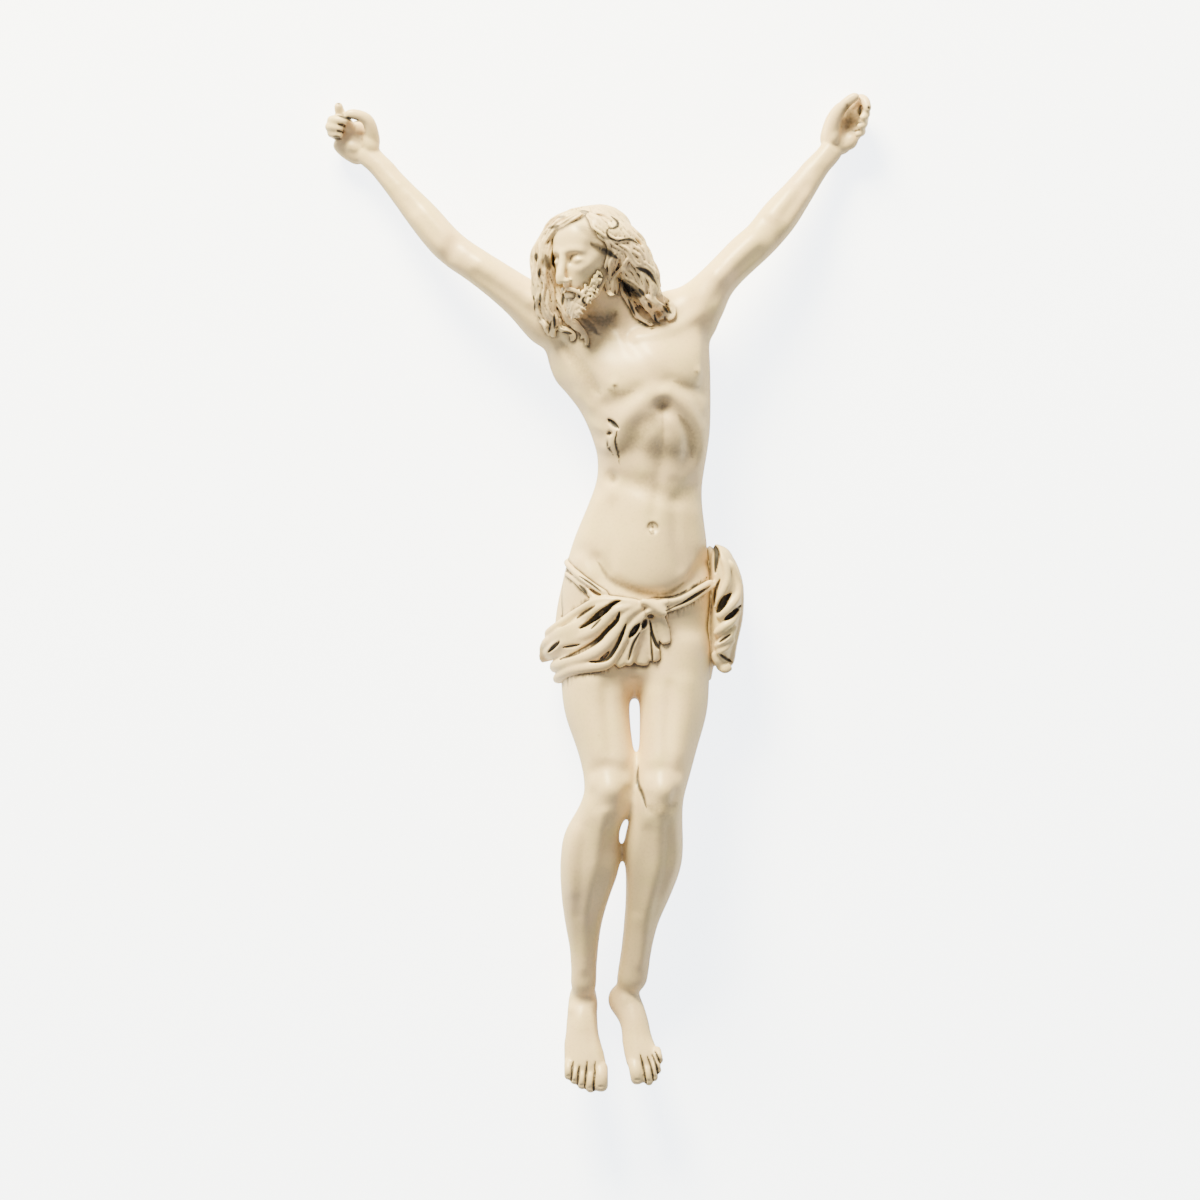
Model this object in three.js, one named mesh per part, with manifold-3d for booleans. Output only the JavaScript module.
// A glazed porcelain figure for a crucifix, cast in one piece with its loincloth and with no cross.
// It lies on its back as it does when loose: +Z is the figure's front, +Y runs towards its head and
// +X to its left hand. Sizes are millimetres. The origin is on the flat at the back of the hips.

import * as THREE from "three";
import { mergeVertices } from "three/addons/utils/BufferGeometryUtils.js";
import Module from "manifold-3d";

const wasm = await Module();
wasm.setup();

const GLAZE_COLOUR = 0xe9dfca;
const HEAD_HEIGHT = 44; // chin to crown, the measure that the head's parts are shares of
const HEAD_CENTRE = [-17.6, 117.5, 40.5];
const HEAD_NOD = 20; // degrees that the face looks down
const HEAD_TURN = -26; // degrees that the face turns to the figure's right
const HEAD_LEAN = 27; // degrees that the crown leans to the figure's right
const BED_SIZE = 600; // larger than the figure, to cut its resting flats
const OVERHEAD = 100; // a height above every part of the figure
const MERGE_DISTANCE = 1e-4;
const LIMB_SIDES = 12;
const LIMB_CAP = 0.06; // share of a limb's length that rounds off at each end
const STRAND_SIDES = 6;
const STRAND_RINGS = 5;
const STRAND_CAP = 0.16;

// Every station below is [x, y, z, half width, half depth]: a centre on the form's middle line, then
// half its width in the plane of the cross and half its depth towards the viewer.

const TORSO = [
  [-3, 104, 17, 17, 8],
  [-3, 98, 17, 30, 13],
  [-3.5, 88, 18, 33, 17.8],
  [-0.6, 80, 19.8, 31.4, 21],
  [2.6, 70, 21.4, 28.2, 22.6],
  [4.8, 60, 22.8, 25.6, 22.4],
  [6.1, 50, 23, 23.7, 20.5],
  [6.2, 40, 22, 21.8, 18],
  [5.3, 30, 21.5, 21.3, 16.5],
  [4.1, 20, 21.5, 23.3, 16.5],
  [2.8, 10, 20.4, 26, 19],
  [1.4, 0, 19.4, 28.2, 20.4],
  [0.2, -12, 19.2, 30, 20.2],
  [-0.2, -24, 18.8, 30.2, 19.8],
  [0, -36, 18.2, 29.6, 18.8],
  [0.4, -47, 18, 25, 16.5],
  [0.4, -55, 19, 14, 12],
];

const SHOULDERS = [
  [-42, 97, 20, 9, 9],
  [-33, 97, 19, 13, 14],
  [-16, 94, 19, 14, 16],
  [4, 93, 19, 13, 15.5],
  [20, 97, 19, 13, 14],
  [29, 104, 21, 8.5, 9],
];

const NECK = [
  [-3, 88, 20, 13, 11],
  [-6, 96, 25, 10.5, 10],
  [-10, 105, 30, 9.5, 9.5],
  [-15, 115, 35, 10, 10],
];

const RIGHT_ARM = [
  [-28, 92, 20, 12, 12],
  [-36, 97.5, 21, 11.5, 11],
  [-45, 104.2, 21.5, 9, 9.5],
  [-54.4, 111.2, 21, 7.8, 8.6],
  [-64.4, 118.2, 20, 7.2, 8],
  [-71.5, 123, 18.5, 7.2, 7.4],
  [-77.5, 128.4, 17.5, 7.2, 7.2],
  [-85.2, 137.6, 15, 6.9, 6.6],
  [-93.4, 147.2, 12.5, 5.8, 5.6],
  [-101.4, 156.6, 10, 5.1, 4.6],
  [-107, 162.4, 8.5, 5, 4.1],
  [-111, 166.5, 7.5, 5.6, 4],
];

const LEFT_ARM = [
  [17, 95, 20, 12, 12],
  [25.6, 102.5, 22, 10.5, 11],
  [31, 109.5, 23, 8.2, 9.6],
  [36.4, 115.6, 22, 7.6, 8.8],
  [43.8, 123, 20.5, 7.9, 8.2],
  [50.4, 129, 18.8, 7.7, 7.6],
  [57.4, 137.6, 16.5, 8, 7],
  [64.8, 147.2, 13.5, 6.8, 5.9],
  [72, 156.8, 10.5, 5.6, 4.6],
  [77.2, 163, 8.5, 5, 4.1],
  [80.6, 168, 7.5, 5.6, 4],
];

const RIGHT_LEG = [
  [-13.5, -24, 19, 16, 17.5],
  [-15, -36, 19.6, 15.6, 18],
  [-15.6, -48, 21.2, 14.8, 17.2],
  [-15.8, -59, 23.5, 14.1, 15.8],
  [-13.8, -73, 28, 11.8, 13.8],
  [-10.8, -84, 31.5, 11.3, 12.4],
  [-10.2, -94, 34.2, 11.1, 12.2],
  [-13, -102.5, 32.8, 11.7, 11.2],
  [-16.8, -112, 29.2, 12.4, 12.2],
  [-18.7, -121, 26.4, 12.2, 12.8],
  [-20.1, -132, 22.8, 10.4, 11.4],
  [-21, -144, 19, 7.9, 9],
  [-20.8, -156, 15.8, 6, 7.2],
  [-21, -168, 12.8, 5.7, 6.6],
  [-21.2, -177, 10.6, 5.9, 6.6],
];

const LEFT_LEG = [
  [14.5, -24, 19, 15.5, 17.5],
  [15, -36, 19.6, 15, 18],
  [14.8, -48, 21.4, 14.7, 17.2],
  [14.2, -59, 24, 14.4, 15.8],
  [13, -73, 29, 12.2, 13.8],
  [10.8, -84, 33.2, 11.2, 12.6],
  [9.7, -94, 36.4, 9.9, 12.2],
  [8.8, -102.5, 34, 10.3, 11.4],
  [7.4, -112, 29.6, 11.8, 12.2],
  [7.2, -121, 26, 12, 12.6],
  [5, -132, 22, 9.7, 11.2],
  [2.2, -144, 17.8, 7, 9],
  [0.6, -156, 14.6, 6.1, 7.2],
  [-0.6, -167, 12, 5.6, 6.4],
  [-1.2, -176, 10.4, 5.6, 6.4],
];

const RIGHT_FOOT = [
  [-21, -169, 3, 5, 3.8],
  [-21.2, -176, 6, 5.8, 7.4],
  [-21.6, -185, 11.5, 6.5, 7],
  [-21.4, -194, 16, 7.6, 5.6],
  [-20.4, -201, 19.2, 8.6, 4.3],
  [-20, -207, 21.2, 8.2, 3.2],
];

const LEFT_FOOT = [
  [-9, -170, 3, 4.2, 4],
  [-5.5, -176, 6.2, 5.2, 7.4],
  [-1.8, -184, 11.6, 6, 6.8],
  [0.6, -193, 16, 6.6, 5.4],
  [2.6, -199.5, 19, 7.2, 4.2],
  [3.8, -204.5, 21, 6.8, 3.2],
];

// A toe is [base x, base y, tip x, tip y, radius], from the big toe outwards.
const RIGHT_TOES = [
  [-14.6, -203, -14, -212.8, 2.9],
  [-18.4, -204, -18.2, -213.2, 2],
  [-21.6, -204, -21.6, -211.6, 1.9],
  [-24.4, -203, -24.6, -209.6, 1.8],
  [-26.8, -201.5, -27, -208, 1.7],
];
const LEFT_TOES = [
  [-0.8, -201, 0.9, -210, 2.6],
  [3, -201.5, 4.9, -210, 1.9],
  [5.4, -200.5, 7, -209.2, 1.7],
  [7.4, -199, 8.8, -206.8, 1.6],
  [8.8, -196.5, 9.6, -201.6, 1.5],
];
const TOE_ROOT_HEIGHT = 20.2;
const TOE_TIP_HEIGHT = 22;

// The backs of the hands lie in the plane that the back and heels rest on. A finger is [points along
// its middle line, radius at the root, radius at the tip], from the thumb to the little finger.
const RIGHT_PALM = [
  [-107, 162, 7, 5, 4],
  [-111, 166.5, 5, 6.8, 4.6],
  [-115.5, 171, 3.8, 8, 4.7],
  [-119.5, 174.5, 3.6, 7.4, 4],
];
const RIGHT_FINGERS = [
  [[[-109, 166.5, 6], [-106.6, 172.5, 9.6], [-109.4, 178, 12.4], [-116, 180, 14]], 3, 1.9],
  [[[-113, 170, 5], [-116, 178, 8], [-119, 183, 12], [-120, 186.8, 15.5]], 2.5, 1.5],
  [[[-115, 171, 5], [-121, 176.8, 8], [-122.2, 177.6, 12.4], [-118, 176.4, 14.6]], 2.3, 1.8],
  [[[-115, 170, 5], [-121.6, 172.8, 7.8], [-122.4, 173.6, 12], [-118.4, 172.6, 14]], 2.2, 1.7],
  [[[-114, 168.5, 5], [-121, 169.2, 7.8], [-121.8, 169.8, 11.6], [-118.4, 169.4, 13]], 2.1, 1.6],
];
const LEFT_PALM = [
  [77.5, 164, 7, 5, 4],
  [80.6, 169, 5, 6.8, 4.6],
  [84, 174.5, 3.8, 8, 4.7],
  [86.5, 179, 3.6, 7.4, 4],
];
const LEFT_FINGERS = [
  [[[80.5, 167, 6], [78, 174, 9.6], [80.2, 180.6, 12.6], [84.5, 183.4, 14.4]], 3, 1.9],
  [[[81.5, 174, 5], [84, 182.6, 8], [88.4, 186.4, 12], [91, 184.2, 14.6]], 2.5, 1.7],
  [[[83, 174, 5], [89.6, 182, 8], [93, 181.8, 12], [92, 178.4, 14.6]], 2.3, 1.7],
  [[[84, 173, 5], [92, 178, 7.8], [93.6, 177.2, 12], [90.4, 175, 14]], 2.2, 1.7],
  [[[84, 171, 5], [91.4, 173, 7.8], [92.2, 172, 11.6], [88.8, 171.4, 13]], 2.1, 1.6],
];

const upwards = new THREE.Vector3(0, 0, 1);

// A geometry as a manifold-3d solid, its shared vertices merged.
function solidOf(geometry) {
  const bare = geometry.clone();
  bare.deleteAttribute("normal");
  bare.deleteAttribute("uv");
  const merged = mergeVertices(bare, MERGE_DISTANCE);
  return new wasm.Manifold(
    new wasm.Mesh({
      numProp: 3,
      vertProperties: new Float32Array(merged.attributes.position.array),
      triVerts: new Uint32Array(merged.index.array),
    }),
  );
}

// A closed rounded form: the rings of a sphere slid along a curve and scaled to the stations.
// The rings' width lies across the curve and square to facing.
function form(stations, sides, rings, { cap = 0.1, facing = upwards } = {}) {
  const spine = new THREE.CatmullRomCurve3(
    stations.map(([x, y, z]) => new THREE.Vector3(x, y, z)),
  );
  const halves = new THREE.CatmullRomCurve3(
    stations.map(([, , , width, depth]) => new THREE.Vector3(width, depth, 0)),
  );
  const geometry = new THREE.SphereGeometry(1, sides, rings);
  const vertices = geometry.attributes.position;
  const point = new THREE.Vector3();
  for (let i = 0; i < vertices.count; i++) {
    point.fromBufferAttribute(vertices, i);
    const along = Math.acos(THREE.MathUtils.clamp(point.y, -1, 1)) / Math.PI;
    const girth = Math.hypot(point.x, point.z) || 1;
    const nearEnd = Math.min(along, 1 - along, cap) / cap;
    const swell = Math.sqrt(Math.max(0, 1 - (1 - nearEnd) ** 2));
    const centre = spine.getPoint(along);
    const tangent = spine.getTangent(along);
    const half = halves.getPoint(along);
    const side = new THREE.Vector3().crossVectors(facing, tangent).normalize();
    const front = new THREE.Vector3().crossVectors(tangent, side);
    centre.addScaledVector(side, (half.x * swell * point.x) / girth);
    centre.addScaledVector(front, (half.y * swell * point.z) / girth);
    vertices.setXYZ(i, centre.x, centre.y, centre.z);
  }
  return solidOf(geometry);
}

// A tapering round form along points, for fingers, toes, locks of hair and folds.
function strand(points, rootRadius, tipRadius, options = {}) {
  const last = points.length - 1;
  const stations = points.map((point, i) => {
    const radius = THREE.MathUtils.lerp(rootRadius, tipRadius, i / last);
    return [...point, radius, radius];
  });
  return form(stations, options.sides ?? STRAND_SIDES, options.rings ?? STRAND_RINGS, {
    cap: options.cap ?? STRAND_CAP,
    facing: options.facing,
  });
}

function joined(solids) {
  return solids.reduce((whole, solid) => whole.add(solid));
}

function foot(stations, toes) {
  const toeSolids = toes.map(([x, y, tipX, tipY, radius]) =>
    strand(
      [
        [x, y, TOE_ROOT_HEIGHT],
        [(x + tipX) / 2, (y + tipY) / 2, (TOE_ROOT_HEIGHT + TOE_TIP_HEIGHT) / 2 + 0.8],
        [tipX, tipY, TOE_TIP_HEIGHT],
      ],
      radius,
      radius,
      { sides: 6, rings: 5, cap: 0.3 },
    ),
  );
  return joined([form(stations, 12, 10, { cap: 0.14 }), ...toeSolids]);
}

// Fingers curl towards the viewer, so their rings are laid square to the line across the knuckles.
function hand(palm, fingers, knuckleLine) {
  const fingerSolids = fingers.map(([points, root, tip]) =>
    strand(points, root, tip, { sides: 6, rings: 6, facing: knuckleLine }),
  );
  return joined([form(palm, 10, 7, { cap: 0.2 }), ...fingerSolids]);
}

// The head's own frame: y runs up its face and z out of it.
const headPlace = new THREE.Matrix4().compose(
  new THREE.Vector3(...HEAD_CENTRE),
  new THREE.Quaternion().setFromEuler(
    new THREE.Euler(
      THREE.MathUtils.degToRad(HEAD_NOD),
      THREE.MathUtils.degToRad(HEAD_TURN),
      THREE.MathUtils.degToRad(HEAD_LEAN),
      "ZYX",
    ),
  ),
  new THREE.Vector3(1, 1, 1),
);

// An oval mass in the head's frame, its centre and half sizes as shares of the head's height.
function headMass([x, y, z], [halfX, halfY, halfZ], sides = 12, rings = 8) {
  const geometry = new THREE.SphereGeometry(HEAD_HEIGHT, sides, rings);
  geometry.scale(halfX, halfY, halfZ);
  geometry.translate(x * HEAD_HEIGHT, y * HEAD_HEIGHT, z * HEAD_HEIGHT);
  return solidOf(geometry.applyMatrix4(headPlace));
}

function head() {
  return joined([
    headMass([0, 0.12, -0.07], [0.33, 0.35, 0.4], 12, 9), // cranium
    headMass([0, -0.16, 0.1], [0.25, 0.32, 0.26], 12, 8), // face and jaw
    headMass([0, -0.08, 0.35], [0.055, 0.13, 0.09], 7, 6), // nose
    headMass([0, 0.05, 0.3], [0.2, 0.05, 0.06], 8, 5), // brow
    headMass([0, -0.42, 0.24], [0.18, 0.17, 0.15], 9, 7), // beard
    headMass([0, 0.15, -0.13], [0.38, 0.35, 0.38], 12, 9), // cap of hair
  ]);
}

// Locks of hair fall from the parting to the shoulders: [points, root radius, tip radius].
const LOCKS = [
  [[[-34, 129, 42], [-37.2, 121, 41], [-37.2, 110, 38], [-37.6, 100, 35], [-35.4, 91, 33]], 4.6, 3],
  [[[-29, 131, 46], [-32.8, 122, 44.4], [-32.4, 111, 41.4], [-33.4, 100, 38], [-32, 90, 34]], 4.2, 2.6],
  [[[-34, 118, 40], [-30.5, 106, 39], [-29, 97, 37.5], [-22.5, 91.5, 38], [-18.9, 83, 40]], 3.2, 1.4],
  [[[-34, 124, 34], [-35, 111, 32], [-33, 99, 31], [-27, 91, 35], [-22.5, 88, 38.5]], 4, 1.8],
  [[[-24, 140, 46], [-15.5, 137.5, 51], [-9.5, 134, 51], [-6, 129, 50], [-1.5, 125.6, 46]], 3, 2.6],
  [[[-21, 139, 52], [-15, 132, 56], [-14.5, 126, 56], [-10.5, 122, 54], [-6.5, 118, 50]], 3.2, 2.4],
  [[[-12, 130, 52], [-7, 123.5, 51], [-2, 117.5, 48], [3.4, 110, 44], [8.2, 100, 40]], 3.6, 2.8],
  [[[-7, 120, 50], [-2.5, 112, 47], [1.5, 104, 43], [5, 98, 41], [9.4, 95, 40]], 3, 2.6],
  [[[-8, 132, 38], [0, 125, 38], [5.4, 117.5, 38], [7.6, 109, 37], [11.6, 100, 37]], 4.4, 3],
  [[[-12, 133, 28], [-2, 126, 26], [4, 116, 27], [7.5, 106, 30], [10.5, 96.5, 33]], 5.4, 3],
  [[[-20, 136, 26], [-12, 128, 20], [-4, 117, 19], [2, 105, 22], [6, 96, 26]], 6, 3.6],
  [[[-30, 134, 32], [-35, 122, 27], [-34, 110, 25], [-31, 99, 25], [-28, 91, 26]], 5, 3],
];

function hair() {
  return joined(LOCKS.map(([points, root, tip]) => strand(points, root, tip)));
}

// The loincloth: a wrap behind the hips, a swag of folds swept from the right hip to a knot, a rope
// of cloth from the knot to the left hip, and an end that hangs there in a bundle. A fold is
// [points, root radius, tip radius]; where a point gives no height, it is laid on the body there.
const WRAP = [
  [1.6, 4, 16, 27.6, 17.4],
  [0.8, -10, 16, 30.2, 17.6],
  [0, -24, 16, 32.2, 17.6],
  [-0.4, -38, 16, 32.2, 17.2],
  [-0.6, -50, 17, 30.4, 16.4],
];
const SWAG = [
  [2, -19.5, undefined, 3.2, 2.4],
  [-8, -24.6, undefined, 7.5, 2.6],
  [-18, -31.4, undefined, 11, 2.8],
  [-27, -36.5, 27, 12, 4],
  [-33, -38, 18, 10, 5],
];
const FOLDS = [
  [[[-27.6, -4.4, 27], [-22.6, -8.6], [-16.6, -12.8], [-9, -14.6], [0, -16.4]], 1.5, 2],
  [[[29.9, -7.6, 27], [21.3, -11.8], [13.5, -15.6], [6.3, -17.6], [0, -18.6]], 1.4, 1.8],
  [[[29.4, -11.2, 27.5], [21.3, -15.4], [13.5, -19], [6.3, -21.4], [1, -21.6]], 1.5, 1.9],
  [[[5, -18.4], [-8, -15.4], [-19, -18.6], [-30, -25, 29], [-36, -33, 23]], 2.8, 3.6],
  [[[3, -19], [-6, -20.4], [-14, -27.6], [-24, -33.6], [-35, -35.6, 24]], 2.6, 3.2],
  [[[3, -20.5], [-3, -25], [-9.6, -32.6], [-19.6, -38], [-32, -41.4, 26]], 2.6, 3],
  [[[2, -23], [-4.4, -30.3], [-9.4, -39], [-19, -44.4], [-30.5, -47, 26.5]], 2.8, 2.8],
  [[[3, -24.5], [0, -31.7], [-5, -37.4], [-10, -41.4], [-15, -45]], 2.8, 2.2],
  [[[4.4, -24], [4, -31], [3.4, -37], [1.3, -41], [-3, -44]], 2.2, 2.4],
  [[[7, -21], [10.4, -25.4], [11.8, -29.6], [10.6, -33.4], [7.4, -34.2]], 1.9, 1.2],
];
const KNOT = { centre: [3.4, -19], halves: [6.8, 4.2, 3.4] };
const SIDE_BUNDLE = [
  [[[25, 7.4, 19], [34, 2, 18], [38.6, -8, 18], [39.4, -19, 18], [33.4, -32, 18]], 3.6, 3.6],
  [[[25, -2, 28], [33.2, -9, 26], [37, -17, 25], [37, -26, 23], [33, -35, 22]], 3, 3.4],
  [[[26, 2, 12], [34.4, -8, 12], [37, -18, 12], [36.6, -29, 13], [32, -41, 14]], 4.2, 4.2],
  [[[27, -10, 28], [31.6, -19, 28], [32, -27, 26], [32.6, -35, 23], [33.6, -43.4, 20]], 2.8, 3.8],
];

// The height of the body's front under a point of the plan.
function heightOver(mesh, x, y) {
  const above = new THREE.Raycaster(
    new THREE.Vector3(x, y, OVERHEAD),
    new THREE.Vector3(0, 0, -1),
  );
  return above.intersectObject(mesh)[0].point.z;
}

function loincloth(bodyMesh) {
  const laid = ([x, y, z, ...halves], lift) => [
    x,
    y,
    z ?? heightOver(bodyMesh, x, y) + lift,
    ...halves,
  ];
  const wrap = form(WRAP, 16, 7, { cap: 0.05 });
  const swag = form(
    SWAG.map((station) => laid(station, 0)),
    12,
    8,
  );
  const folds = FOLDS.map(([points, root, tip]) =>
    strand(
      points.map((point) => laid(point, root / 3)),
      root,
      tip,
    ),
  );
  const bundle = SIDE_BUNDLE.map(([points, root, tip]) => strand(points, root, tip));
  const knot = new THREE.SphereGeometry(1, 8, 5)
    .scale(...KNOT.halves)
    .translate(...laid(KNOT.centre, KNOT.halves[2] / 3));
  return joined([wrap, swag, ...folds, ...bundle, solidOf(knot)]);
}

function geometryOf(solid) {
  const mesh = solid.getMesh();
  const positions = new Float32Array(mesh.numVert * 3);
  for (let i = 0; i < mesh.numVert; i++) {
    const from = i * mesh.numProp;
    positions.set(mesh.vertProperties.subarray(from, from + 3), i * 3);
  }
  return new THREE.BufferGeometry()
    .setAttribute("position", new THREE.BufferAttribute(positions, 3))
    .setIndex(new THREE.BufferAttribute(new Uint32Array(mesh.triVerts), 1));
}

const knuckles = new THREE.Vector3(1, 1, 0).normalize();
const body = joined([
  form(TORSO, 20, 18, { cap: LIMB_CAP }),
  form(SHOULDERS, 12, 9),
  form(NECK, 10, 7, { cap: 0.08 }),
  form(RIGHT_ARM, LIMB_SIDES, 15, { cap: LIMB_CAP }),
  form(LEFT_ARM, LIMB_SIDES, 15, { cap: LIMB_CAP }),
  form(RIGHT_LEG, LIMB_SIDES, 18, { cap: LIMB_CAP }),
  form(LEFT_LEG, LIMB_SIDES, 18, { cap: LIMB_CAP }),
]);
const bodyMesh = new THREE.Mesh(geometryOf(body));

const bed = new THREE.BoxGeometry(BED_SIZE, BED_SIZE, BED_SIZE).translate(0, 0, BED_SIZE / 2);
const whole = joined([
  body,
  foot(RIGHT_FOOT, RIGHT_TOES),
  foot(LEFT_FOOT, LEFT_TOES),
  hand(RIGHT_PALM, RIGHT_FINGERS, knuckles),
  hand(LEFT_PALM, LEFT_FINGERS, knuckles),
  head(),
  hair(),
  loincloth(bodyMesh),
]).intersect(solidOf(bed));

const figure = new THREE.Mesh(
  geometryOf(whole),
  new THREE.MeshStandardMaterial({ color: GLAZE_COLOUR, roughness: 0.28, metalness: 0 }),
);
figure.name = "corpus";

const group = new THREE.Group();
group.add(figure);

export default group;
